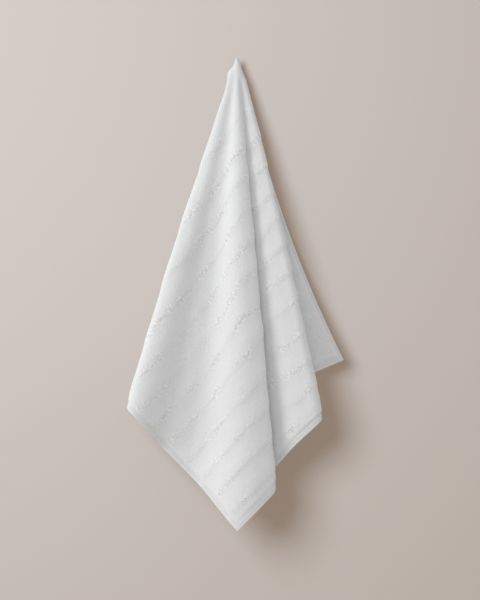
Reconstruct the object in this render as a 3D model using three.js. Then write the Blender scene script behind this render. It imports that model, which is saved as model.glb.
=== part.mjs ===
// A white terry towel hung by one corner, so that its folds fan out from that corner.
// Millimetres, +Z up. The hanging corner is the origin, the towel faces -Y, and the wall lies behind it at +Y.
import * as THREE from "three";

// The cloth
const SIDE = 700; // length of each edge of the square
const THICKNESS = 3; // ground weave with its loops pressed down
const BIAS_SAG = 0.03; // how much longer its own weight pulls the cloth along the diagonal
const CORNER_CUT = 7; // radius of the rounded hanging corner
const CORNER_THICKNESS = 0.8; // where the hem is pinched together at that corner
const FULL_THICKNESS_AT = 18; // distance from the corner where the cloth has its own thickness again

// The folds all start at the hanging corner. A line of cloth from there is known by its angle to the flap edge,
// the edge that shows at the right: 0 is that edge, 45 the diagonal and 90 the hidden edge at the back.
const HIDDEN_EDGE = 90;
const DIAGONAL = 45;
const DIAGONAL_SIDEWAYS = 0.1; // degrees that the diagonal swings to the right of straight down
const DIAGONAL_FORWARD = 9.2; // degrees that the diagonal stands out from the hanging plane
const DIAGONAL_HEADING = 196.5; // way that the cloth runs where it crosses the diagonal, 180 being to the left
const LEAST_BEND = 14; // cloth that any bend takes up, which opens the folds out towards the corner
const WIDEST_BEND = 40; // degrees that a bend spreads over at most, close to the corner
const FOLDS_START = 10; // distance from the corner where the folds begin to form

// Each row bends the cloth on its way from the flap edge to the hidden edge.
//   at     where on the cloth the bend lies, in degrees from the flap edge, half way down the towel
//   drift  how far that place moves along the cloth between the corner and the hem, in degrees
//   turn   how far the bend turns the cloth, in degrees, positive round the towel's back
//   over   how much cloth the bend takes low down, in degrees
//   near   the share of the turn that is there at the corner itself
//   whole  distance from the corner over which the rest of the turn forms
const FOLDS = [
  { name: "hidden pleat", at: 13.4, drift: 5.5, turn: -160, over: 3.0, near: 0.01, whole: 130 },
  { name: "right fold", at: 26.4, drift: 1.8, turn: 172, over: 4.0, near: 0.54, whole: 138 },
  { name: "right ridge", at: 32.6, drift: 0.0, turn: 43, over: 6.7, near: 0.00, whole: 40 },
  { name: "groove", at: 34.4, drift: 0.0, turn: -19, over: 7.4, near: 0.00, whole: 110 },
  { name: "hollow under the edge", at: 37.2, drift: 0.0, turn: -154, over: 2.0, near: 0.00, whole: 68 },
  { name: "edge of the centre ridge", at: 39.9, drift: 0.0, turn: 102, over: 2.0, near: 0.00, whole: 71 },
  { name: "centre ridge", at: 44.8, drift: 0.0, turn: 69, over: 11.8, near: 0.97, whole: 40 },
  { name: "left valley", at: 52.7, drift: -1.5, turn: -63, over: 12.7, near: 0.00, whole: 40 },
  { name: "inner crease of the left valley", at: 52.8, drift: 0.0, turn: -15, over: 2.6, near: 0.00, whole: 600 },
  { name: "small ridge in the left valley", at: 53.7, drift: 0.0, turn: 26, over: 4.1, near: 0.00, whole: 600 },
  { name: "outer crease of the left valley", at: 56.8, drift: 0.0, turn: -34, over: 2.5, near: 0.00, whole: 600 },
  { name: "left ridge", at: 60.5, drift: 0.7, turn: 51, over: 6.4, near: 0.00, whole: 89 },
  { name: "left fold", at: 65.3, drift: -2.0, turn: 136, over: 5.0, near: 0.36, whole: 131 },
  { name: "rise at the back", at: 79.2, drift: 0.0, turn: 91, over: 4.4, near: 0.14, whole: 200 },
  { name: "fall at the back", at: 80.9, drift: 0.0, turn: -23, over: 3.7, near: 0.00, whole: 192 },
];

// The facets
const RIGHT_COLUMNS = 60; // strips of cloth from the flap edge to the diagonal, closer together in the bends
const LEFT_COLUMNS = 54; // and from the diagonal to the hidden edge
const ROWS = 18; // bands from the corner to the hem, closer together near the corner
const ROW_CROWDING = 1.5; // power that draws the bands towards the corner
const FLAT_STEP = 3; // degrees of flat cloth that weigh as much as one facet
const BENT_STEP = 12; // degrees of turn that weigh as much as one facet
const WALK_STEP = 0.5; // degrees of cloth between two steps along a section
const SLOPE_STEP = 0.1; // step in mm and in degrees for the slopes that give the surface normal

const radians = THREE.MathUtils.degToRad;

/** Turning that starts and stops softly: 0 up to -half, 1 from +half on. */
function eased(share) {
  return THREE.MathUtils.smootherstep(share, 0, 1);
}

/** Degrees of cloth that a fold takes up at a distance from the corner. */
function bendWidth(fold, radius) {
  const least = THREE.MathUtils.radToDeg(LEAST_BEND / radius);
  return Math.min(Math.hypot(fold.over, least), WIDEST_BEND);
}

/** How far one fold has turned the cloth by a given line of it, in degrees. */
function foldTurn(fold, radius, line) {
  const formed = fold.near + (1 - fold.near) * eased((radius - FOLDS_START) / fold.whole);
  const at = fold.at + fold.drift * (radius / SIDE - 0.5);
  return fold.turn * formed * eased((line - at) / bendWidth(fold, radius) + 0.5);
}

/** Which way the cloth runs across the view: 0 to the right, 90 to the front, 180 to the left. */
function heading(radius, line) {
  const turned = (where) => FOLDS.reduce((sum, fold) => sum + foldTurn(fold, radius, where), 0);
  return radians(DIAGONAL_HEADING + turned(line) - turned(DIAGONAL));
}

/** Direction from the corner to a line of cloth, found by walking there from the diagonal without stretching. */
function direction(radius, line) {
  const steps = Math.max(1, Math.ceil(Math.abs(line - DIAGONAL) / WALK_STEP));
  const step = (line - DIAGONAL) / steps;
  let sideways = radians(DIAGONAL_SIDEWAYS);
  let forward = radians(DIAGONAL_FORWARD);
  for (let i = 0; i < steps; i++) {
    const way = heading(radius, DIAGONAL + (i + 0.5) * step);
    const rise = Math.sin(way) * radians(step);
    sideways += (Math.cos(way) * radians(step)) / Math.cos(forward + rise / 2);
    forward += rise;
  }
  const across = Math.cos(forward);
  return new THREE.Vector3(across * Math.sin(sideways), -Math.sin(forward), -across * Math.cos(sideways));
}

/** Point on the middle of the cloth. */
function middle(radius, line) {
  const sag = 1 + BIAS_SAG * Math.sin(radians(2 * line));
  return direction(radius, line).multiplyScalar(radius * sag);
}

/** Unit normal of the cloth, towards the face that shows at the front. */
function faceNormal(radius, line) {
  const before = Math.max(line - SLOPE_STEP, 0);
  const after = Math.min(line + SLOPE_STEP, HIDDEN_EDGE);
  const down = middle(radius + SLOPE_STEP, line).sub(middle(radius - SLOPE_STEP, line));
  const along = middle(radius, after).sub(middle(radius, before));
  return along.cross(down).normalize();
}

/** Thickness of the cloth, pinched at the hanging corner. */
function thickness(radius) {
  const share = THREE.MathUtils.clamp((radius - CORNER_CUT) / (FULL_THICKNESS_AT - CORNER_CUT), 0, 1);
  return THREE.MathUtils.lerp(CORNER_THICKNESS, THICKNESS, share);
}

/** Distance from the hanging corner to the far edges of the square along one line of cloth. */
function reach(line) {
  return SIDE / Math.cos(radians(DIAGONAL - Math.abs(DIAGONAL - line)));
}

/** Lines of cloth from one to another that share out flat cloth and bends evenly, without the last line. */
function spreadLines(radius, from, to, count) {
  const turned = (line) => FOLDS.map((fold) => foldTurn(fold, radius, line));
  const steps = (to - from) / WALK_STEP;
  const weights = [0];
  let before = turned(from);
  for (let i = 1; i <= steps; i++) {
    const after = turned(from + i * WALK_STEP);
    const turning = after.reduce((sum, turn, k) => sum + Math.abs(turn - before[k]), 0);
    weights.push(weights[i - 1] + WALK_STEP / FLAT_STEP + turning / BENT_STEP);
    before = after;
  }
  const lines = [from];
  let i = 1;
  for (let column = 1; column < count; column++) {
    const wanted = (weights[steps] * column) / count;
    while (weights[i] < wanted) i++;
    lines.push(from + WALK_STEP * (i - (weights[i] - wanted) / (weights[i] - weights[i - 1])));
  }
  return lines;
}

/** All the lines of cloth in one row of points, with one on the diagonal so that the lowest corner is sharp. */
function rowLines(radius) {
  const right = spreadLines(radius, 0, DIAGONAL, RIGHT_COLUMNS);
  const left = spreadLines(radius, DIAGONAL, HIDDEN_EDGE, LEFT_COLUMNS);
  return [...right, ...left, HIDDEN_EDGE];
}

/** The whole cloth as one closed sheet: a front skin, a back skin and the edge that joins them. */
function hangingSheet() {
  const across = RIGHT_COLUMNS + LEFT_COLUMNS + 1;
  const positions = [];
  for (const side of [0.5, -0.5]) {
    for (let row = 0; row <= ROWS; row++) {
      const share = (row / ROWS) ** ROW_CROWDING;
      for (const line of rowLines(CORNER_CUT + (SIDE - CORNER_CUT) * share)) {
        const radius = CORNER_CUT + (reach(line) - CORNER_CUT) * share;
        const offset = faceNormal(radius, line).multiplyScalar(side * thickness(radius));
        positions.push(...middle(radius, line).add(offset));
      }
    }
  }
  const skin = (ROWS + 1) * across;
  const indices = [];
  const quad = (a, b, c, d) => indices.push(a, b, c, a, c, d);
  for (let row = 0; row < ROWS; row++) {
    for (let column = 0; column < across - 1; column++) {
      const a = row * across + column;
      quad(a, a + 1, a + 1 + across, a + across); // front
      quad(skin + a, skin + a + across, skin + a + 1 + across, skin + a + 1); // back
    }
  }
  for (let row = 0; row < ROWS; row++) {
    const flap = row * across;
    const hidden = flap + across - 1;
    quad(flap, flap + across, skin + flap + across, skin + flap);
    quad(hidden, skin + hidden, skin + hidden + across, hidden + across);
  }
  for (let column = 0; column < across - 1; column++) {
    const hem = ROWS * across + column;
    quad(column, skin + column, skin + column + 1, column + 1);
    quad(hem, hem + 1, skin + hem + 1, skin + hem);
  }
  const sheet = new THREE.BufferGeometry();
  sheet.setAttribute("position", new THREE.Float32BufferAttribute(positions, 3));
  sheet.setIndex(indices);
  sheet.computeVertexNormals();
  return sheet;
}

const terry = new THREE.MeshStandardMaterial({ color: 0xeeedeb, roughness: 1, metalness: 0 });

const towel = new THREE.Mesh(hangingSheet(), terry);
towel.name = "towel";

const hung = new THREE.Group();
hung.add(towel);

export default hung;
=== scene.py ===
"""A white terry towel that hangs by one corner, in front of a plain wall.

Metres, +Z up. The hanging corner is the origin, the towel faces -Y, and the wall lies behind it at +Y.
The cloth is described flat first: u runs from the flap edge and v from the hidden edge, both from 0 at
the hanging corner to the side of the square. A line of cloth from that corner is known by its angle to
the flap edge: 0 is that edge, 45 the diagonal and 90 the hidden edge at the back. The place of a point
in a band is its distance from the hidden edge before the hanging weight pulls the bands out of line.
"""

import logging
import math
from dataclasses import dataclass, field
from enum import Enum

import bpy
import numpy as np
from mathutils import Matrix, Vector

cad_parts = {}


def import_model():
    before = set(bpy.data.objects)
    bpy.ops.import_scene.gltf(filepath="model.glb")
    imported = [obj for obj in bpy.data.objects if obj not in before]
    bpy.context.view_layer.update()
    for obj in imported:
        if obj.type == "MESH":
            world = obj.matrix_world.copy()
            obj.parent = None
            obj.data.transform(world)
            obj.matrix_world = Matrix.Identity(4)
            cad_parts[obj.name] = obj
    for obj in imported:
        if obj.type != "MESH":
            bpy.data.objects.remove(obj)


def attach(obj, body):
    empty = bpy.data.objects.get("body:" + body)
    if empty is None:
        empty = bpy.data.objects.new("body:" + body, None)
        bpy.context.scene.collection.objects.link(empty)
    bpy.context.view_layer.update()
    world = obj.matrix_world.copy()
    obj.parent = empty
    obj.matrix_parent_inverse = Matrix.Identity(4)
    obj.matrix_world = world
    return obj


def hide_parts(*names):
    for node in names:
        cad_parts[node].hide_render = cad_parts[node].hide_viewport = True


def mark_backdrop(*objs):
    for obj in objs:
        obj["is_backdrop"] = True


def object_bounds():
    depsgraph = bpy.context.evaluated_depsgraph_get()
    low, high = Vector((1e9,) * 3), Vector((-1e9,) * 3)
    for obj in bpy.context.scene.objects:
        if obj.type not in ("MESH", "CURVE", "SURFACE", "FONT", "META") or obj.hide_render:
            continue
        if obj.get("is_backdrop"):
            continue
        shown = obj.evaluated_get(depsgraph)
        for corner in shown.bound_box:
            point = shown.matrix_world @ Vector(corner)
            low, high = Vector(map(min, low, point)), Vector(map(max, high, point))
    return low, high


Array = np.ndarray
Object = bpy.types.Object
Mesh = bpy.types.Mesh
Socket = bpy.types.NodeSocket
Inputs = dict[object, object]
Pair = tuple[float, float]
Triple = tuple[float, float, float]

LOG = logging.getLogger("towel")
BODY = "root"
NODE = "towel"
MM = 0.001
TINY = 1e-9  # keeps an angle defined at the hanging corner itself
WALL_GAP = 0.006  # from the towel's furthest back point to the wall


class Face(Enum):
    """The two faces of the cloth: its value is the sign of the normal."""

    FRONT = 1.0
    BACK = -1.0

    @property
    def order(self) -> int:
        """0 for the front and 1 for the back, by which the seeds of random values differ."""
        return int(self is Face.BACK)


def eased(share: Array) -> Array:
    """A change that starts and stops softly: 0 up to a share of 0, and 1 from a share of 1 on."""
    s = np.clip(share, 0.0, 1.0)
    return s * s * s * (s * (s * 6.0 - 15.0) + 10.0)


def line_through(u: Array, v: Array) -> Array:
    """Lines of cloth through some places, as their angles to the flap edge, in degrees."""
    return np.degrees(np.arctan2(u + TINY, v + TINY))


def between(values: Array, row: Array, column: Array, down: Array, across: Array) -> Array:
    """Values between four points of a lattice.

    Args:
        values: A value or a vector for each point.
        row: Rows of the points above.
        column: Columns of the points before.
        down: How far the places lie towards the next row, from 0 to 1.
        across: How far they lie towards the next column.

    Returns:
        One value or vector for each place.
    """
    upper = values[row, column] * (1.0 - across) + values[row, column + 1] * across
    lower = values[row + 1, column] * (1.0 - across) + values[row + 1, column + 1] * across
    return upper * (1.0 - down) + lower * down


@dataclass(frozen=True)
class Ramp:
    """A change from 0 to 1 that starts and stops softly: where it starts, and how far it takes."""

    start: float
    over: float

    def at(self, place: Array) -> Array:
        """Share of the change at some places."""
        return eased((place - self.start) / self.over)


@dataclass(frozen=True)
class SoftNoise:
    """Smooth random waves over the flat cloth, from -1 to 1.

    Args:
        grain: Distance between two waves, in metres.
        seed: Seed of the random values.
    """

    grain: float
    seed: int

    def at(self, u: Array, v: Array) -> Array:
        """Values at places on the cloth.

        Args:
            u: Distances from the flap edge.
            v: Distances from the hidden edge.

        Returns:
            One value for each place.
        """
        cells = int(1.0 / self.grain) + 4
        lattice = np.random.default_rng(self.seed).uniform(-1.0, 1.0, (cells, cells))
        x, y = np.broadcast_arrays(u / self.grain + 1.0, v / self.grain + 1.0)
        column, row = np.floor(x).astype(int), np.floor(y).astype(int)
        across, down = eased(x - column), eased(y - row)
        column, row = np.clip(column, 0, cells - 2), np.clip(row, 0, cells - 2)
        return between(lattice, row, column, down, across)


@dataclass(frozen=True)
class Fold:
    """One bend of the cloth round a line from the hanging corner.

    Args:
        name: What the bend makes; it is not used.
        at: Line of cloth where it lies, in degrees, half way down the towel.
        turn: How far it turns the cloth, in degrees, positive round the towel's back.
        over: How much cloth it takes low down, in degrees.
        whole: Distance from the corner over which the turn forms, in metres.
        drift: How far the line moves between the corner and the hem, in degrees.
        near: The share of the turn that is there at the corner itself.
    """

    name: str
    at: float
    turn: float
    over: float
    whole: float
    drift: float = 0.0
    near: float = 0.0


FOLDS = (
    Fold("hidden pleat", at=13.4, drift=5.5, turn=-160, over=3.0, near=0.01, whole=0.130),
    Fold("right fold", at=26.4, drift=1.8, turn=172, over=4.0, near=0.54, whole=0.138),
    Fold("right ridge", at=32.6, turn=43, over=6.7, whole=0.040),
    Fold("groove", at=34.4, turn=-19, over=7.4, whole=0.110),
    Fold("hollow under the edge", at=37.2, turn=-154, over=2.0, whole=0.068),
    Fold("edge of the centre ridge", at=39.9, turn=102, over=2.0, whole=0.071),
    Fold("centre ridge", at=44.8, turn=69, over=11.8, near=0.97, whole=0.040),
    Fold("left valley", at=52.7, drift=-1.5, turn=-63, over=12.7, whole=0.040),
    Fold("inner crease of the left valley", at=52.8, turn=-15, over=2.6, whole=0.600),
    Fold("small ridge in the left valley", at=53.7, turn=26, over=4.1, whole=0.600),
    Fold("outer crease of the left valley", at=56.8, turn=-34, over=2.5, whole=0.600),
    Fold("left ridge", at=60.5, drift=0.7, turn=51, over=6.4, whole=0.089),
    Fold("left fold", at=65.3, drift=-2.0, turn=136, over=5.0, near=0.36, whole=0.131),
    Fold("rise at the back", at=79.2, turn=91, over=4.4, near=0.14, whole=0.200),
    Fold("fall at the back", at=80.9, turn=-23, over=3.7, whole=0.192),
)


@dataclass
class Drape:
    """The form in which the cloth hangs: folds that fan out from the hanging corner.

    Lengths are in metres and angles in degrees. "heading" is the way in which the cloth crosses the
    diagonal, 180 being to the left. It is walked across from "nearest" corner radii to "furthest" sides.
    """

    side: float = 0.700
    sag: float = 0.03
    corner_cut: float = 0.007
    diagonal: float = 45.0
    hidden_edge: float = 90.0
    sideways: float = 0.1
    forward: float = 9.2
    heading: float = 196.5
    least_bend: float = 0.014
    widest_bend: float = 40.0
    folds_start: float = 0.010
    folds: tuple[Fold, ...] = FOLDS
    nearest: float = 0.5
    furthest: float = 1.5
    rows: int = 300
    lines: int = 720
    ways: Array = field(init=False)
    radii: Array = field(init=False)

    def __post_init__(self) -> None:
        """Walks across the cloth at every distance from the corner."""
        self.radii = np.linspace(self.corner_cut * self.nearest, self.side * self.furthest, self.rows)
        self.ways = self._walked()

    def _turned(self, line: Array) -> Array:
        """Turning of all the folds up to some lines of cloth.

        Args:
            line: Lines of cloth, in degrees.

        Returns:
            Degrees turned, a row for each distance from the corner.
        """
        radius = self.radii[:, None]
        least = np.degrees(self.least_bend / radius)
        total = np.zeros((self.rows, len(line)))
        for fold in self.folds:
            over = np.minimum(np.hypot(fold.over, least), self.widest_bend)
            formed = fold.near + (1.0 - fold.near) * eased((radius - self.folds_start) / fold.whole)
            at = fold.at + fold.drift * (radius / self.side - 0.5)
            total += fold.turn * formed * eased((line[None, :] - at) / over + 0.5)
        return total

    def _walked(self) -> Array:
        """Directions from the corner to the cloth, found by walking from the diagonal without stretching.

        Returns:
            Unit vectors, a row for each distance and a column for each line of cloth.
        """
        line = np.linspace(0.0, self.hidden_edge, self.lines + 1)
        step = math.radians(line[1] - line[0])
        middle = self._turned(0.5 * (line[1:] + line[:-1]))
        way = np.radians(self.heading + middle - self._turned(np.array([self.diagonal])))
        start = self.lines // 2
        side = np.full((self.rows, self.lines + 1), math.radians(self.sideways))
        front = np.full((self.rows, self.lines + 1), math.radians(self.forward))
        for sign, order in ((1, range(start, self.lines)), (-1, range(start - 1, -1, -1))):
            for i in order:
                known, found = (i, i + 1) if sign > 0 else (i + 1, i)
                rise = sign * np.sin(way[:, i]) * step
                across = sign * np.cos(way[:, i]) * step / np.cos(front[:, known] + rise / 2)
                side[:, found] = side[:, known] + across
                front[:, found] = front[:, known] + rise
        return np.stack(
            (np.cos(front) * np.sin(side), -np.sin(front), -np.cos(front) * np.cos(side)), axis=-1
        )

    def points(self, u: Array, v: Array) -> Array:
        """Places on the middle of the hanging cloth.

        Args:
            u: Distances from the flap edge on the flat cloth.
            v: Distances from the hidden edge.

        Returns:
            Points in metres, one for each place.
        """
        radius = np.cbrt(np.hypot(u, v) ** 3 + self.corner_cut**3)
        line = line_through(u, v)
        row = (radius - self.radii[0]) / (self.radii[1] - self.radii[0])
        column = line / self.hidden_edge * self.lines
        above = np.clip(np.floor(row).astype(int), 0, self.rows - 2)
        before = np.clip(np.floor(column).astype(int), 0, self.lines - 1)
        way = between(self.ways, above, before, (row - above)[..., None], (column - before)[..., None])
        way /= np.linalg.norm(way, axis=-1, keepdims=True)
        stretched = radius * (1.0 + self.sag * np.sin(2.0 * np.radians(line)))
        return way * stretched[..., None]


# Steps of the mesh, in millimetres: from an upper edge, from a lower edge, and round a furrow
SELVEDGE_STEPS = (0.0, 0.9, 2.0, 3.4, 5.0, 6.3, 8.0)
HEM_STEPS = (9.9, 8.7, 7.0, 4.8, 2.6, 1.0, 0.0)
FURROW_STEPS = (-13.0, -10.0, -7.4, -5.0, -2.8, -0.8, 1.2, 3.6, 6.6, 10.5)
ROW_STEP = 4.5 * MM  # between rows in the open
COLUMN_STEP = 3.7 * MM  # and between columns


def open_steps(start: float, end: float, step: float) -> Array:
    """Even steps between two places, without the two themselves."""
    count = max(1, round((end - start) / step))
    return np.linspace(start, end, count + 1)[1:-1]


@dataclass(frozen=True)
class BandShift:
    """How far the hanging weight has pulled the bands out of line, away from the hidden edge.

    The right-hand fold is pulled by a least and an added length, and the right flank of the centre ridge
    back by another, in metres. Where these begin and end are lines of cloth, in degrees.
    """

    side: float
    starts: Ramp = Ramp(0.080, 0.260)
    after_selvedge: Ramp = Ramp(0.0, 0.040)
    hem: float = 0.010
    before_hem: float = 0.063
    right: Pair = (0.002, 0.018)
    right_grows: Ramp = Ramp(0.374, 0.326)
    right_ends: Ramp = Ramp(30.0, 6.0)
    flank: float = -0.020
    flank_fades: Ramp = Ramp(0.430, 0.350)
    flank_begins: Ramp = Ramp(34.0, 6.0)
    flank_ends: Ramp = Ramp(40.0, 18.0)
    wander: float = 0.0032
    wandering: SoftNoise = SoftNoise(0.055, 11)

    def at(self, u: Array, place: Array) -> Array:
        """The pull at some places.

        Args:
            u: Distances from the flap edge.
            place: Places in the bands.

        Returns:
            Metres away from the hidden edge, one for each place.
        """
        line, radius = line_through(u, place), np.hypot(u, place)
        least, added = self.right
        right = least + added * self.right_grows.at(radius)
        flank = self.flank * (1.0 - self.flank_fades.at(radius))
        on_right = 1.0 - self.right_ends.at(line)
        on_flank = self.flank_begins.at(line) * (1.0 - self.flank_ends.at(line))
        loose = np.clip((self.side - self.hem - place) / self.before_hem, 0.0, 1.0)
        loose = loose * self.after_selvedge.at(place) * self.starts.at(radius)
        wandering = self.wander * self.wandering.at(u, place)
        return (right * on_right + flank * on_flank + wandering) * loose


@dataclass
class BandedPile:
    """Bands of standing pile with narrow furrows between them, and the flat hems round them.

    Lengths are in metres. The flap ends and the last furrow starts at lines of cloth, in degrees. "coarse"
    and "fine" are the size and the share of two kinds of unevenness.
    """

    side: float = 0.700
    furrows: tuple[float, ...] = (
        0.057, 0.114, 0.173, 0.229, 0.282, 0.333, 0.381, 0.429, 0.478, 0.530, 0.578, 0.627, 0.677,
    )  # fmt: skip
    furrow_rise: float = 0.036
    furrow_drop: float = 0.0150
    rise_begun: float = 0.06
    drop_begun: float = 0.02
    furrow_depth: float = 0.68
    least_depth: float = 0.25
    faint: SoftNoise = SoftNoise(0.038, 31)
    flap_depth: float = 0.45
    flap_ends: Ramp = Ramp(10.0, 6.0)
    furrows_form: Ramp = Ramp(0.050, 0.150)
    last_band_after: float = 0.02
    last_furrow_from: Ramp = Ramp(33.0, 8.0)
    pile_height: float = 0.0028
    ground: float = 0.0012
    hem_thickness: float = 0.0020
    edge_thickness: float = 0.0012
    fold_in: float = 1.2 * MM
    round_off: float = 1.4 * MM
    hem: float = 0.010
    selvedge: float = 0.005
    hem_rise: float = 0.007
    sparse_up_to: float = 0.240
    least_pile: float = 0.12
    unevenness: float = 0.16
    coarse: Pair = (0.021, 0.6)
    coarse_seed: int = 21
    fine: Pair = (0.0075, 0.4)
    fine_seed: int = 31
    lip_begins: Ramp = Ramp(0.0, 0.004)
    lip_ends: Ramp = Ramp(0.008, 0.016)
    patches: SoftNoise = SoftNoise(0.024, 51)
    patch_share: Pair = (0.42, 0.9)
    flap_lips: float = 0.3

    def rows(self) -> Array:
        """Places of the rows of the mesh, close together at the furrows and the hems.

        Returns:
            Distances from the hidden edge.
        """
        near = np.array(FURROW_STEPS) * MM
        kept = [np.array((*SELVEDGE_STEPS, 11.0)) * MM]
        for furrow in self.furrows:
            kept.append(open_steps(kept[-1][-1], furrow + near[0], ROW_STEP))
            kept.append(furrow + near)
        return np.concatenate((*kept, self.side - np.array(HEM_STEPS) * MM))

    def columns(self) -> Array:
        """Places of the columns of the mesh, close together at the hems.

        Returns:
            Distances from the flap edge.
        """
        first = np.array(SELVEDGE_STEPS) * MM
        last = self.side - np.array((13.0, 11.3, *HEM_STEPS)) * MM
        return np.concatenate((first, open_steps(first[-1], last[0], COLUMN_STEP), last))

    def _from_furrows(self, place: Array) -> tuple[Array, Array]:
        """How far some places are from the furrows on both sides of them.

        Args:
            place: Places in the bands.

        Returns:
            Distances from the furrow before and to the furrow after, which are long where there is none.
        """
        starts = np.array((-1.0, *self.furrows))
        ends = np.array((*self.furrows, 2.0))
        band = np.searchsorted(self.furrows, place)
        return place - starts[band], ends[band] - place

    def band_profile(self, u: Array, place: Array) -> Array:
        """Height of the pile across the bands.

        Args:
            u: Distances from the flap edge.
            place: Places in the bands.

        Returns:
            0 in a furrow to about 1 at the lip of a band.
        """
        after, before = self._from_furrows(place)
        rise = eased(self.rise_begun + (1.0 - self.rise_begun) * after / self.furrow_rise)
        drop = eased(self.drop_begun + (1.0 - self.drop_begun) * before / self.furrow_drop)
        line = line_through(u, place)
        in_last = place > self.furrows[-2] + self.last_band_after
        last = in_last * (1.0 - self.last_furrow_from.at(line))
        waves = 0.5 + 0.5 * self.faint.at(u, place)
        depth = self.furrow_depth * (self.least_depth + (1.0 - self.least_depth) * waves) * (1.0 - last)
        depth *= self.flap_depth + (1.0 - self.flap_depth) * self.flap_ends.at(line)
        depth *= self.furrows_form.at(np.hypot(u, place))
        return 1.0 - depth * (1.0 - rise * drop)

    def lips(self, u: Array, place: Array) -> Array:
        """Share of the pile that stands up ragged, in patches along the lips of the bands.

        Args:
            u: Distances from the flap edge.
            place: Places in the bands.

        Returns:
            0 to 1, one for each place.
        """
        # the lips are real ragged relief and also where the finish paints its highlight
        _, before = self._from_furrows(place)
        lip = self.lip_begins.at(before) * (1.0 - self.lip_ends.at(before))
        middle, spread = self.patch_share
        patches = eased(middle + spread * self.patches.at(u, place))
        whole = self.furrows_form.at(np.hypot(u, place))
        off_flap = self.flap_ends.at(line_through(u, place))
        return lip * patches * whole * (self.flap_lips + (1.0 - self.flap_lips) * off_flap)

    def height(self, u: Array, v: Array, place: Array, face: Face) -> Array:
        """Height of the pile over the ground weave.

        Args:
            u: Distances from the flap edge.
            v: Distances from the hidden edge.
            place: Places in the bands.
            face: Face of the cloth.

        Returns:
            Metres, one for each point, and 0 on the hems.
        """
        hem = np.minimum(self.side - u, self.side - v) - self.hem
        selvedge = np.minimum(u, v) - self.selvedge
        inside = eased(np.minimum(hem, selvedge) / self.hem_rise)
        (coarse, coarse_share), (fine, fine_share) = self.coarse, self.fine
        large = SoftNoise(coarse, self.coarse_seed + face.order).at(u, v)
        small = SoftNoise(fine, self.fine_seed + face.order).at(u, v)
        uneven = 1.0 + self.unevenness * (coarse_share * large + fine_share * small)
        pressed = self.least_pile + (1.0 - self.least_pile) * eased(np.hypot(u, v) / self.sparse_up_to)
        return self.pile_height * self.band_profile(u, place) * uneven * inside * pressed

    def half_ground(self, u: Array, v: Array) -> Array:
        """Half the thickness of the cloth without its pile.

        Args:
            u: Distances from the flap edge.
            v: Distances from the hidden edge.

        Returns:
            Metres, one for each point.
        """
        hem = self.hem - np.minimum(self.side - u, self.side - v)
        selvedge = self.selvedge - np.minimum(u, v)
        folded = eased(np.maximum(hem, selvedge) / self.fold_in + 0.5)
        inwards = np.minimum(np.minimum(u, v), self.side - np.maximum(u, v))
        edge = eased(1.0 - inwards / self.round_off)
        thick = self.ground + (self.hem_thickness - self.ground) * folded
        return 0.5 * (thick + (self.edge_thickness - thick) * edge)


@dataclass
class Cloth:
    """The hanging cloth with its thickness, as a lattice of points on each face."""

    drape: Drape
    pile: BandedPile
    ripple: float = 0.0013
    ripples: SoftNoise = SoftNoise(0.065, 5)
    ripple_from: float = 0.060
    u: Array = field(init=False)
    v: Array = field(init=False)
    place: Array = field(init=False)
    middle: Array = field(init=False)
    normal: Array = field(init=False)

    def __post_init__(self) -> None:
        """Lays the lattice out on the flat cloth and hangs it."""
        rows, columns = self.pile.rows(), self.pile.columns()
        self.u, self.place = np.meshgrid(columns, rows)
        self.v = self.place + BandShift(self.pile.side).at(self.u, self.place)
        smooth = self.drape.points(self.u, self.v)
        normal = self._normals(smooth)
        loose = eased(np.hypot(self.u, self.v) / self.ripple_from - 0.5)
        out = self.ripple * self.ripples.at(self.u, self.v) * loose
        self.middle = smooth + normal * out[..., None]
        self.normal = self._normals(self.middle)

    @staticmethod
    def _normals(points: Array) -> Array:
        """Unit normals of a lattice, towards the face that shows at the front.

        Args:
            points: Points in rows along v and columns along u.

        Returns:
            One unit vector for each point.
        """
        along = np.gradient(points, axis=1)
        down = np.gradient(points, axis=0)
        normal = np.cross(along, down)
        return normal / np.linalg.norm(normal, axis=-1, keepdims=True)

    @staticmethod
    def _step(marks: Array, at: Array) -> tuple[Array, Array]:
        """The last mark before each place, and how far the place lies towards the next mark."""
        before = np.clip(np.searchsorted(marks, at) - 1, 0, len(marks) - 2)
        return before, ((at - marks[before]) / (marks[before + 1] - marks[before]))[:, None]

    def skin(self, face: Face) -> Array:
        """Points of the lattice on one face, pile included."""
        out = self.pile.half_ground(self.u, self.v) + self.pile.height(self.u, self.v, self.place, face)
        return self.middle + self.normal * (face.value * out)[..., None]

    def sample(self, u: Array, place: Array, face: Face, proud: float) -> tuple[Array, Array]:
        """Points on one face, between the points of the lattice, and the way out of the face there.

        Args:
            u: Distances from the flap edge.
            place: Places in the bands.
            face: Face of the cloth.
            proud: How far above the face the points stand, in metres.

        Returns:
            The points and the outward normals.
        """
        row, down = self._step(self.place[:, 0], place)
        column, across = self._step(self.u[0], u)
        normal = between(self.normal, row, column, down, across) * face.value
        normal /= np.linalg.norm(normal, axis=-1, keepdims=True)
        return between(self.skin(face), row, column, down, across) + normal * proud, normal


def in_scene(name: str, data: bpy.types.ID) -> Object:
    """Puts something into the scene.

    Args:
        name: Name of the object.
        data: Its mesh, light or camera.

    Returns:
        The object.
    """
    made = bpy.data.objects.new(name, data)
    bpy.context.collection.objects.link(made)
    return made


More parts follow.
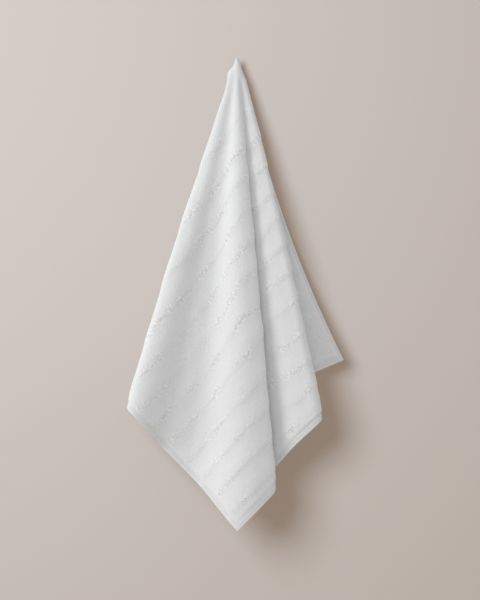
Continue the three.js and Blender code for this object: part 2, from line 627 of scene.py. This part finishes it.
class NodeBuilder:
    """Short ways to add nodes to a tree."""

    def __init__(self, tree: bpy.types.NodeTree) -> None:
        """Takes the tree with the nodes that it already has."""
        self.tree = tree

    def link(self, source: Socket, target: Socket) -> None:
        """Joins an output to an input."""
        self.tree.links.new(source, target)

    def fill(self, node: bpy.types.Node, inputs: Inputs) -> None:
        """Fills inputs of a node.

        Args:
            node: The node.
            inputs: Sockets or values by the name or number of the input.
        """
        for name, value in inputs.items():
            if isinstance(value, Socket):
                self.link(value, node.inputs[name])
            else:
                node.inputs[name].default_value = value

    def node(self, kind: str, inputs: Inputs, **settings: object) -> bpy.types.Node:
        """Adds a node and fills its inputs.

        Args:
            kind: Type of the node.
            inputs: Sockets or values by the name or number of the input.
            **settings: The node's properties.

        Returns:
            The node.
        """
        made = self.tree.nodes.new(kind)
        for name, value in settings.items():
            setattr(made, name, value)
        self.fill(made, inputs)
        return made

    def math(self, operation: str, first: object, second: object) -> Socket:
        """Result of a Math node on two sockets or numbers."""
        return self.node("ShaderNodeMath", {0: first, 1: second}, operation=operation).outputs[0]


class Shading(NodeBuilder):
    """Short ways to build a material round a Principled shader."""

    def __init__(self, name: str, **inputs: object) -> None:
        """Starts a material.

        Args:
            name: Name of the finish.
            **inputs: Values of the shader's inputs, with _ for each space.
        """
        self.material = bpy.data.materials.new(name)
        self.material.use_nodes = True
        super().__init__(self.material.node_tree)
        self.shader = self.tree.nodes["Principled BSDF"]
        self.fill(self.shader, {key.replace("_", " "): value for key, value in inputs.items()})

    def noise(self, place: Socket, size: float, grain: Pair, dimensions: str) -> Socket:
        """Values of a cloudy pattern, "2D" on the flat cloth or "3D" in space."""
        inputs = {"Vector": place, "Scale": 1.0 / size, "Detail": grain[0], "Roughness": grain[1]}
        return self.node("ShaderNodeTexNoise", inputs, noise_dimensions=dimensions).outputs[0]

    def blend(self, share: object, first: object, second: object) -> Socket:
        """Mixes two colours, each a socket or a colour, by a share from 0 to 1."""
        inputs = {"Factor": share, "A": first, "B": second}
        return self.node("ShaderNodeMix", inputs, data_type="RGBA").outputs["Result"]

    def attribute(self, name: str) -> Socket:
        """Values of an attribute of the mesh."""
        return self.node("ShaderNodeAttribute", {}, attribute_name=name).outputs["Fac"]


@dataclass(frozen=True)
class TerryFinish:
    """White cotton terry: matt, a little fuzzy at its edges, with tufts of loops.

    Sizes and heights are those of its relief, in metres, and a grain is a noise's detail and roughness. The
    ribs of the ground weave are about one and a half times weave_size apart. Patches along the lips of the
    bands are painted nearer white: a painted highlight where the standing pile catches the light.
    """

    colour: Triple = (0.85, 0.857, 0.865)
    furrow_colour: Triple = (0.79, 0.797, 0.805)
    # painted highlight: the colour that ragged patches on the lips are painted towards, for light caught by
    # standing loops
    lip_highlight_colour: Triple = (0.97, 0.975, 0.98)
    roughness: float = 0.95
    specular: float = 0.15
    sheen: float = 0.12
    sheen_roughness: float = 0.5
    loop_size: float = 0.0024
    loop_height: float = 0.0005
    loop_softness: float = 0.5
    tuft_size: float = 0.007
    tuft_grain: Pair = (3.0, 0.6)
    tuft_height: float = 0.0006
    ragged_size: float = 0.0060
    ragged_grain: Pair = (2.0, 0.7)
    ragged_height: float = 0.0046
    # painted highlight: how strongly the raised ragged pile, and a little of every lip, is painted towards
    # that colour
    lip_highlight_gain: float = 11.0
    lip_highlight_least: float = 0.03
    weave_size: float = 0.0011
    weave_fit: float = 0.3
    weave_height: float = 0.00015
    pile_whiteness: float = 0.75
    tuft_whiteness: float = 0.5

    def made(self) -> bpy.types.Material:
        """Builds the material, which reads the map "cloth" and the attributes "pile" and "lip".

        Returns:
            The material.
        """
        s = Shading(
            "terry",
            Roughness=self.roughness,
            Specular_IOR_Level=self.specular,
            Sheen_Weight=self.sheen,
            Sheen_Roughness=self.sheen_roughness,
        )
        cloth = s.node("ShaderNodeUVMap", {}, uv_map="cloth").outputs[0]
        pile, lip = s.attribute("pile"), s.attribute("lip")
        tufts = s.noise(cloth, self.tuft_size, self.tuft_grain, "2D")
        ragged = s.math("SUBTRACT", s.noise(cloth, self.ragged_size, self.ragged_grain, "2D"), 0.5)
        raised = s.math("MULTIPLY", ragged, s.math("MULTIPLY", lip, pile))

        loops = s.node(
            "ShaderNodeTexVoronoi",
            {"Vector": cloth, "Scale": 1.0 / self.loop_size, "Smoothness": self.loop_softness},
            feature="SMOOTH_F1",
            voronoi_dimensions="2D",
        )
        curled = s.math("MULTIPLY", loops.outputs["Distance"], -self.loop_height)
        tufted = s.math("MULTIPLY", tufts, self.tuft_height)
        standing = s.math("MULTIPLY", s.math("ADD", curled, tufted), pile)
        standing = s.math("ADD", standing, s.math("MULTIPLY", raised, self.ragged_height))

        ribs = {"Vector": cloth, "Scale": self.weave_fit / self.weave_size}
        weave = s.node("ShaderNodeTexWave", ribs, wave_type="BANDS", bands_direction="DIAGONAL")
        woven = s.math("MULTIPLY", weave.outputs["Fac"], self.weave_height)
        relief = s.math("ADD", standing, s.math("MULTIPLY", woven, s.math("SUBTRACT", 1.0, pile)))
        bump = s.node("ShaderNodeBump", {"Strength": 1.0, "Distance": 1.0, "Height": relief})
        s.link(bump.outputs[0], s.shader.inputs["Normal"])

        white = s.math("MULTIPLY", pile, self.pile_whiteness)
        white = s.math("ADD", white, s.math("MULTIPLY", tufts, self.tuft_whiteness))
        plain = s.blend(white, (*self.furrow_colour, 1.0), (*self.colour, 1.0))
        # painted highlight: raised ragged pile on the lips, and a little of every lip, is painted nearer
        # white for light the loops catch
        painted_highlight = s.math("ADD", raised, s.math("MULTIPLY", lip, self.lip_highlight_least))
        painted_highlight = s.math("MULTIPLY", painted_highlight, self.lip_highlight_gain)
        painted_highlight.node.use_clamp = True
        s.link(s.blend(painted_highlight, plain, (*self.lip_highlight_colour, 1.0)), s.shader.inputs["Base Color"])
        return s.material


@dataclass(frozen=True)
class YarnFinish:
    """Bare white cotton yarn, as in single loops and sewing thread."""

    name: str
    colour: Triple = (0.93, 0.938, 0.946)
    shade: float = 0.92
    roughness: float = 0.9
    specular: float = 0.2
    sheen: float = 0.15
    ply: float = 0.0009
    ply_grain: Pair = (2.0, 0.5)

    def made(self) -> bpy.types.Material:
        """Builds the material, with a fine unevenness of its fibres.

        Returns:
            The material.
        """
        s = Shading(
            self.name, Roughness=self.roughness, Specular_IOR_Level=self.specular, Sheen_Weight=self.sheen
        )
        place = s.node("ShaderNodeTexCoord", {}).outputs["Object"]
        fibres = s.noise(place, self.ply, self.ply_grain, "3D")
        dark = tuple(self.shade * c for c in self.colour)
        s.link(s.blend(fibres, (*dark, 1.0), (*self.colour, 1.0)), s.shader.inputs["Base Color"])
        return s.material


@dataclass
class TowelSheet:
    """The towel's cloth as one closed mesh: a front skin, a back skin and the edge that joins them."""

    cloth: Cloth
    finish: TerryFinish
    back_map_offset: float = 0.75

    def build(self) -> Object:
        """Makes the mesh with its flat map, its attributes and its finish.

        Returns:
            The towel.
        """
        skins = [self.cloth.skin(face) for face in Face]
        rows, columns = skins[0].shape[:2]
        points = np.concatenate(skins).reshape(-1, 3)
        mesh = bpy.data.meshes.new("towel_cloth")
        mesh.from_pydata(points.tolist(), [], self._faces(rows, columns).tolist())
        mesh.polygons.foreach_set("use_smooth", np.ones(len(mesh.polygons), dtype=bool))
        self._map(mesh, rows * columns)
        self._mark_pile(mesh)
        mesh.materials.append(self.finish.made())
        mesh.update()
        return in_scene("towel_cloth", mesh)

    @staticmethod
    def _faces(rows: int, columns: int) -> Array:
        """Corners of all the faces, turned outwards.

        Args:
            rows: Rows of points on a skin.
            columns: Columns of points.

        Returns:
            Four point numbers for each face.
        """
        skin = rows * columns
        number = np.arange(skin).reshape(rows, columns)
        a, b, c, d = number[:-1, :-1], number[:-1, 1:], number[1:, 1:], number[1:, :-1]
        front = np.stack((a, b, c, d), axis=-1).reshape(-1, 4)
        back = np.stack((a, d, c, b), axis=-1).reshape(-1, 4) + skin
        loop = np.concatenate((number[0, :-1], number[:-1, -1], number[-1, :0:-1], number[:0:-1, 0]))
        after = np.roll(loop, -1)
        rim = np.stack((after, loop, loop + skin, after + skin), axis=-1)
        return np.concatenate((front, back, rim))

    def _map(self, mesh: Mesh, skin: int) -> None:
        """Lays the flat cloth out as the mesh's map, in metres, with the back beside the front.

        Args:
            mesh: The towel's mesh.
            skin: Number of points on one skin.
        """
        flat = np.stack((self.cloth.u, self.cloth.v), axis=-1).reshape(-1, 2)
        owners = np.empty(len(mesh.loops), dtype=int)
        mesh.loops.foreach_get("vertex_index", owners)
        places = flat[owners % skin]
        places[:, 0] += self.back_map_offset * (owners >= skin)
        layer = mesh.uv_layers.new(name="cloth")
        layer.uv.foreach_set("vector", places.astype(np.float32).ravel())

    def _mark_pile(self, mesh: Mesh) -> None:
        """Writes how much pile each point has, from 0 on a hem to 1 on a band, and how ragged it is.

        Args:
            mesh: The towel's mesh.
        """
        cloth, pile = self.cloth, self.cloth.pile
        shares = [pile.height(cloth.u, cloth.v, cloth.place, face) / pile.pile_height for face in Face]
        # lip also places the finish's painted highlight on the lips of the bands
        lips = [pile.lips(cloth.u, cloth.place) for face in Face]
        for name, marks in (("pile", np.clip(shares, 0.0, 1.0)), ("lip", np.array(lips))):
            mark = mesh.attributes.new(name, "FLOAT", "POINT")
            mark.data.foreach_set("value", marks.astype(np.float32).ravel())


class TreeBuilder(NodeBuilder):
    """Short ways to build a Geometry Nodes tree."""

    def __init__(self, name: str) -> None:
        """Starts a tree with a geometry input and output.

        Args:
            name: Name of the tree.
        """
        super().__init__(bpy.data.node_groups.new(name, "GeometryNodeTree"))
        self.tree.interface.new_socket("Geometry", in_out="INPUT", socket_type="NodeSocketGeometry")
        self.tree.interface.new_socket("Geometry", in_out="OUTPUT", socket_type="NodeSocketGeometry")
        self.start = self.tree.nodes.new("NodeGroupInput")
        self.end = self.tree.nodes.new("NodeGroupOutput")
        self.values: dict[str, object] = {}

    def named(self, name: str, value: float) -> Socket:
        """Adds a named input to the tree.

        Args:
            name: Name of the input.
            value: Whole or broken number that the modifier gets.

        Returns:
            Its socket inside the tree.
        """
        kind = "NodeSocketInt" if isinstance(value, int) else "NodeSocketFloat"
        made = self.tree.interface.new_socket(name, in_out="INPUT", socket_type=kind)
        self.values[made.identifier] = value
        return self.start.outputs[name]

    def tube(self, path: Socket, radius: object, sides: int) -> Socket:
        """Lays a round section along a curve.

        Args:
            path: The curve.
            radius: Radius of the section.
            sides: Number of its sides.

        Returns:
            The tube.
        """
        section = self.node("GeometryNodeCurvePrimitiveCircle", {"Resolution": sides, "Radius": radius})
        inputs = {"Curve": path, "Profile Curve": section.outputs[0]}
        return self.node("GeometryNodeCurveToMesh", inputs).outputs[0]

    def upright_arc(self, radius: object, start: float, sweep: float) -> Socket:
        """An arc that stands upright, with Z as the way out of the cloth.

        Args:
            radius: Radius of the arc.
            start: Angle where it starts, in radians.
            sweep: Angle that it goes round.

        Returns:
            The curve.
        """
        inputs = {"Resolution": 5, "Radius": radius, "Start Angle": start, "Sweep Angle": sweep}
        arc = self.node("GeometryNodeCurveArc", inputs).outputs[0]
        return self.turned(arc, Rotation=(math.pi / 2, 0.0, 0.0))

    def turned(self, shape: Socket, **inputs: object) -> Socket:
        """Moves, turns or scales a shape by the inputs of a Transform node."""
        return self.node("GeometryNodeTransform", {"Geometry": shape, **inputs}).outputs[0]

    def aligned(self, axis: str, inputs: Inputs, **settings: object) -> Socket:
        """A rotation that turns an axis the way of the vector in the inputs."""
        return self.node("FunctionNodeAlignRotationToVector", inputs, axis=axis, **settings).outputs[0]

    def outwards(self) -> Socket:
        """The way out of the cloth at each point of the carrier."""
        name = {"Name": "outwards"}
        return self.node("GeometryNodeInputNamedAttribute", name, data_type="FLOAT_VECTOR").outputs[0]

    def finish(self, material: bpy.types.Material, **inputs: object) -> None:
        """Ends the tree with a shape on every point, realized, smooth and in one material.

        Args:
            material: The shapes' finish.
            **inputs: Inputs of the Instance on Points node.
        """
        placed = self.node("GeometryNodeInstanceOnPoints", inputs).outputs[0]
        real = self.node("GeometryNodeRealizeInstances", {0: placed}).outputs[0]
        smooth = self.node("GeometryNodeSetShadeSmooth", {"Geometry": real}).outputs[0]
        dressed = self.node("GeometryNodeSetMaterial", {"Geometry": smooth, "Material": material})
        self.link(dressed.outputs[0], self.end.inputs[0])

    def applied(self, name: str, points: Array, edges: list, outwards: Array) -> Object:
        """Runs the tree on a mesh that only carries points into it, and keeps what it makes.

        Args:
            name: Name of the piece.
            points: The points.
            edges: The edges between them.
            outwards: The way out of the cloth at each point.

        Returns:
            The piece, as a plain mesh.
        """
        carrier = bpy.data.meshes.new(name)
        carrier.from_pydata(points.tolist(), edges, [])
        ways = carrier.attributes.new("outwards", "FLOAT_VECTOR", "POINT")
        ways.data.foreach_set("vector", outwards.astype(np.float32).ravel())
        holder = in_scene(f"{name}_carrier", carrier)
        modifier = holder.modifiers.new(name, "NODES")
        modifier.node_group = self.tree
        for identifier, value in self.values.items():
            modifier[identifier] = value
        graph = bpy.context.evaluated_depsgraph_get()
        mesh = bpy.data.meshes.new_from_object(holder.evaluated_get(graph))
        mesh.name = name
        holder.modifiers.clear()
        bpy.data.objects.remove(holder)
        return in_scene(name, mesh)


@dataclass(frozen=True)
class LoopKind:
    """One kind of single loop that stands out of the pile, in metres and radians.

    "clumps" are the grain, the strength and the middle of the noise that draws the loops together, and
    "sunk" is how many radii deep a loop's middle lies.
    """

    name: str
    on_lips: bool
    count: int
    seed: int
    radius: float
    yarn: float
    clumps: Triple
    sunk: float = 0.9
    start: float = -0.6
    sweep: float = 4.3
    lean: float = 0.7
    sizes: Pair = (0.65, 1.25)


@dataclass
class PileLoops:
    """Single loops of one kind on one face, in clumps, and clear of the hems."""

    cloth: Cloth
    material: bpy.types.Material
    face: Face
    kind: LoopKind
    tries: int = 6
    inset: float = 2 * MM
    band_inset: float = 3 * MM
    lip_start: float = 0.006
    lip_width: float = 0.011
    lip_bias: Pair = (1.5, 2.0)
    chances: Pair = (-1.0, 0.6)
    back_seed: int = 20

    @property
    def seed(self) -> int:
        """Seed of the places on this face."""
        return self.kind.seed + self.back_seed * self.face.order

    def _places(self) -> tuple[Array, Array]:
        """Random places on the flat cloth.

        Returns:
            Distances from the flap edge and places in the bands.
        """
        pile, kind = self.cloth.pile, self.kind
        rng = np.random.default_rng(self.seed)
        tries = kind.count * self.tries
        far = pile.side - pile.hem - self.inset
        u = rng.uniform(pile.selvedge + self.inset, far, tries)
        if kind.on_lips:
            furrow = rng.choice(np.array(pile.furrows[1:]), tries)
            place = furrow - self.lip_start - self.lip_width * rng.beta(*self.lip_bias, tries)
        else:
            place = rng.uniform(pile.selvedge + self.band_inset, far, tries)
        grain, strength, middle = kind.clumps
        clumps = strength * SoftNoise(grain, self.seed + 1).at(u, place) + middle
        keep = clumps > rng.uniform(*self.chances, tries)
        return u[keep][: kind.count], place[keep][: kind.count]

    def build(self) -> Object:
        """Scatters the loops.

        Returns:
            The loops as one piece.
        """
        kind, name = self.kind, f"{self.face.name.lower()}_{self.kind.name}"
        u, place = self._places()
        points, normals = self.cloth.sample(u, place, self.face, -kind.sunk * kind.radius)
        tree = TreeBuilder(f"{name}_tree")
        radius = tree.named("Loop radius", kind.radius)
        yarn = tree.named("Yarn radius", kind.yarn)
        lean = tree.named("Lean", kind.lean)
        seed = tree.named("Seed", self.seed)
        loop = tree.tube(tree.upright_arc(radius, kind.start, kind.sweep), yarn, sides=3)
        standing = tree.aligned("Z", {"Vector": tree.outwards()})
        back = tree.math("MULTIPLY", lean, -1.0)
        low = tree.node("ShaderNodeCombineXYZ", {"X": back, "Y": back, "Z": -math.pi})
        high = tree.node("ShaderNodeCombineXYZ", {"X": lean, "Y": lean, "Z": math.pi})
        range_of_spin = {0: low.outputs[0], 1: high.outputs[0], "Seed": seed}
        spin = tree.node("FunctionNodeRandomValue", range_of_spin, data_type="FLOAT_VECTOR")
        turned = tree.node("FunctionNodeEulerToRotation", {0: spin.outputs[0]})
        both = {0: standing, 1: turned.outputs[0]}
        rotation = tree.node("FunctionNodeRotateRotation", both, rotation_space="LOCAL").outputs[0]
        least, most = kind.sizes
        size = tree.node("FunctionNodeRandomValue", {2: least, 3: most, "Seed": seed}, data_type="FLOAT")
        where, scale = tree.start.outputs["Geometry"], size.outputs[1]
        tree.finish(self.material, Points=where, Instance=loop, Rotation=rotation, Scale=scale)
        return tree.applied(name, points, [], normals)


@dataclass
class HemStitches:
    """The lockstitch that holds the hem down, on one face of the cloth.

    A stitch's thread spans twice "span" of its length, and "rise" is the height of its arch against a round
    one. "proud" is how far its ends lie above the face, in thread radii.
    """

    cloth: Cloth
    material: bpy.types.Material
    face: Face
    inset: float = 0.0075
    selvedge_inset: float = 0.0035
    stitch: float = 0.0032
    span: float = 0.40
    rise: float = 0.3
    thread: float = 0.00028
    proud: float = 0.3
    path_step: float = 0.004

    def build(self) -> Object:
        """Sews round the four edges.

        Returns:
            The stitches as one piece.
        """
        name = f"{self.face.name.lower()}_hem_stitches"
        near, far = self.selvedge_inset, self.cloth.pile.side - self.inset
        count = round((far - near) / self.path_step)
        there = np.linspace(near, far, count, endpoint=False)
        back = there[::-1] + self.path_step
        u = np.concatenate((there, np.full(count, far), back, np.full(count, near)))
        place = np.concatenate((np.full(count, near), there, np.full(count, far), back))
        points, normals = self.cloth.sample(u, place, self.face, self.proud * self.thread)
        edges = [(i, (i + 1) % len(points)) for i in range(len(points))]
        tree = TreeBuilder(f"{name}_tree")
        length = tree.named("Stitch length", self.stitch)
        thread = tree.named("Thread radius", self.thread)
        seam = tree.node("GeometryNodeMeshToCurve", {"Mesh": tree.start.outputs["Geometry"]})
        even = tree.node(
            "GeometryNodeResampleCurve", {"Curve": seam.outputs[0], "Length": length}, mode="LENGTH"
        )
        arch = tree.upright_arc(tree.math("MULTIPLY", length, self.span), 0.0, math.pi)
        stitch = tree.tube(tree.turned(arch, Scale=(1.0, 1.0, self.rise)), thread, sides=4)
        along = tree.node("GeometryNodeInputTangent", {}).outputs[0]
        first = tree.aligned("X", {"Vector": along})
        rotation = tree.aligned("Z", {"Rotation": first, "Vector": tree.outwards()}, pivot_axis="X")
        tree.finish(self.material, Points=even.outputs[0], Instance=stitch, Rotation=rotation)
        return tree.applied(name, points, edges, normals)


@dataclass
class Towel:
    """The whole towel: its cloth, its standing loops and its hem stitches."""

    drape: Drape = field(default_factory=Drape)
    pile: BandedPile = field(default_factory=BandedPile)
    loops: tuple[LoopKind, ...] = (
        LoopKind("lip_loops", True, 3200, seed=40, radius=0.0011, yarn=0.00070, clumps=(0.019, 2.0, -0.35)),
        LoopKind("band_loops", False, 2600, seed=45, radius=0.0010, yarn=0.00055, clumps=(0.012, 1.0, 0.0)),
    )
    thread_colour: Triple = (0.93, 0.928, 0.920)

    def build(self) -> list[Object]:
        """Builds every piece and ties it to the frame.

        Returns:
            The pieces.
        """
        cloth = Cloth(self.drape, self.pile)
        sheet = TowelSheet(cloth, TerryFinish()).build()
        yarn = YarnFinish("pile_yarn").made()
        thread = YarnFinish("hem_thread", colour=self.thread_colour).made()
        extras = []
        for face in Face:
            extras += [PileLoops(cloth, yarn, face, kind).build() for kind in self.loops]
            extras.append(HemStitches(cloth, thread, face).build())
        for piece in (sheet, *extras):
            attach(piece, BODY)
            LOG.info("%s: %d faces", piece.name, len(piece.data.polygons))
        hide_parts(NODE)
        return [sheet, *extras]


@dataclass(frozen=True)
class Lamp:
    """One large soft light that points at the towel.

    Args:
        name: Its name.
        from_left: Degrees that it stands to the left of straight in front.
        from_above: Degrees that it stands above the towel's middle.
        power: Brightness that it gives to a white surface that faces it.
        distance: How far away it is, in metres.
        width: Width of the disk that shines, in metres.
        on_wall: Whether it lights the wall alone, or all but the wall.
    """

    name: str
    from_left: float
    from_above: float
    power: float
    distance: float = 3.2
    width: float = 1.6
    on_wall: bool = False

    def hang(self, aimed_at: Triple, wall: Object) -> None:
        """Puts the light in its place.

        Args:
            aimed_at: The point that it shines on.
            wall: The stage's wall.
        """
        left, up = math.radians(self.from_left), math.radians(self.from_above)
        way = np.array((-math.sin(left) * math.cos(up), -math.cos(left) * math.cos(up), math.sin(up)))
        disk = bpy.data.lights.new(self.name, "AREA")
        disk.shape = "DISK"
        disk.size = self.width
        disk.energy = self.power * math.pi**2 * self.distance**2
        lamp = in_scene(self.name, disk)
        lamp.location = np.array(aimed_at) + way * self.distance
        lamp.rotation_euler = (math.pi / 2 - up, 0.0, -left)
        lit = bpy.data.collections.new(f"{self.name}_reach")
        lit.objects.link(wall)
        lit.collection_objects[0].light_linking.link_state = "INCLUDE" if self.on_wall else "EXCLUDE"
        lamp.light_linking.receiver_collection = lit


@dataclass
class Studio:
    """A plain wall and floor, lamps from the left for the towel, one for the wall alone, and the camera.

    Lengths are in metres, but for the camera's sensor, which is in millimetres.
    """

    centre: Triple
    wall_at: float
    wall_half: float = 4.0
    floor_half: Pair = (5.0, 6.0)
    floor_drop: float = 1.1
    camera_distance: float = 3.0
    camera_right: float = 0.0065
    camera_drop: float = 0.025
    view_height: float = 1.302
    sensor: float = 36.0
    paint_roughness: float = 0.9
    wall_specular: float = 0.1
    wall_colour: Triple = (0.192, 0.196, 0.202)
    # painted light: the wall glows faintly warm, standing in for light that the room throws back into its
    # shadows
    wall_glow: Triple = (0.190, 0.124, 0.076)
    floor_colour: Triple = (0.62, 0.60, 0.57)
    backdrop: Triple = (0.62, 0.585, 0.555)
    lamps: tuple[Lamp, ...] = (
        Lamp("front_light", from_left=8.0, from_above=25.0, power=0.09),
        Lamp("side_light", from_left=68.0, from_above=15.0, power=0.30, width=1.9),
        Lamp("low_side_light", from_left=82.0, from_above=12.0, power=0.17, width=1.9),
        Lamp("wall_light", from_left=26.0, from_above=16.0, power=1.88, width=1.7, on_wall=True),
    )
    fill: float = 0.57

    def build(self) -> None:
        """Sets up the stage, the lights and the camera."""
        wall = self._wall()
        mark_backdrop(wall, self._floor())
        for lamp in self.lamps:
            lamp.hang(self.centre, wall)
        self._world()
        self._camera()
        bpy.context.scene.view_settings.view_transform = "Standard"

    @staticmethod
    def _plane(name: str, outline: list[Triple], paint: Shading) -> Object:
        """A flat piece of the stage.

        Args:
            name: Its name.
            outline: Its four corners.
            paint: Its finish.

        Returns:
            The piece.
        """
        mesh = bpy.data.meshes.new(name)
        mesh.from_pydata(outline, [], [(0, 1, 2, 3)])
        mesh.materials.append(paint.material)
        return in_scene(name, mesh)

    def _wall(self) -> Object:
        """The wall, seen only from its front, which takes the towel's shadow and casts no light back.

        Returns:
            The wall.
        """
        y, half = self.wall_at, self.wall_half
        # the emission is painted light, a warm glow for light that the room throws back
        s = Shading(
            "wall_paint",
            Roughness=self.paint_roughness,
            Specular_IOR_Level=self.wall_specular,
            Base_Color=(*self.wall_colour, 1.0),
            Emission_Color=(*self.wall_glow, 1.0),
            Emission_Strength=1.0,
        )
        behind = s.node("ShaderNodeNewGeometry", {}).outputs["Backfacing"]
        clear = s.node("ShaderNodeBsdfTransparent", {}).outputs[0]
        mix = s.node("ShaderNodeMixShader", {0: behind, 1: s.shader.outputs[0], 2: clear})
        s.link(mix.outputs[0], s.tree.nodes["Material Output"].inputs["Surface"])
        outline = [(-half, y, -half), (half, y, -half), (half, y, half), (-half, y, half)]
        wall = self._plane("wall", outline, s)
        for ray in ("diffuse", "shadow", "glossy", "transmission"):
            setattr(wall, f"visible_{ray}", False)
        return wall

    def _floor(self) -> Object:
        """A pale floor far below the towel.

        Returns:
            The floor.
        """
        z = self.centre[2] - self.floor_drop
        x, y = self.floor_half
        s = Shading("floor_paint", Roughness=self.paint_roughness, Base_Color=(*self.floor_colour, 1.0))
        return self._plane("floor", [(-x, -y, z), (x, -y, z), (x, y, z), (-x, y, z)], s)

    def _world(self) -> None:
        """Even fill light, and a plain backdrop where the camera looks past the stage."""
        world = bpy.data.worlds.new("studio")
        bpy.context.scene.world = world
        world.use_nodes = True
        tree = NodeBuilder(world.node_tree)
        fill = tree.tree.nodes["Background"]
        tree.fill(fill, {"Color": (1.0, 1.0, 1.0, 1.0), "Strength": self.fill})
        seen = tree.node("ShaderNodeBackground", {"Color": (*self.backdrop, 1.0)})
        direct = tree.node("ShaderNodeLightPath", {}).outputs["Is Camera Ray"]
        mix = tree.node("ShaderNodeMixShader", {0: direct, 1: fill.outputs[0], 2: seen.outputs[0]})
        tree.link(mix.outputs[0], tree.tree.nodes["World Output"].inputs["Surface"])

    def _camera(self) -> None:
        """The camera, straight in front of the wall."""
        lens = bpy.data.cameras.new("camera")
        lens.sensor_width = self.sensor
        lens.lens = self.sensor * self.camera_distance / self.view_height
        camera = in_scene("camera", lens)
        camera.location = (self.camera_right, -self.camera_distance, self.centre[2] - self.camera_drop)
        camera.rotation_euler = (math.pi / 2, 0.0, 0.0)
        bpy.context.scene.camera = camera


def corners(box: tuple) -> list[list[float]]:
    """A box's two corners as plain lists of numbers."""
    return [[float(c) for c in corner] for corner in box]


def main() -> None:
    """Builds the towel round the frame and sets the stage."""
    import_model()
    cad_box = corners(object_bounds())
    low, high = cad_box
    Studio(centre=(0.0, 0.0, 0.5 * (low[2] + high[2])), wall_at=high[1] + WALL_GAP).build()
    pieces = Towel().build()
    LOG.info("%d pieces", len(pieces))


if __name__ == "__main__":
    logging.basicConfig(level=logging.INFO, format="%(name)s: %(message)s")
    main()
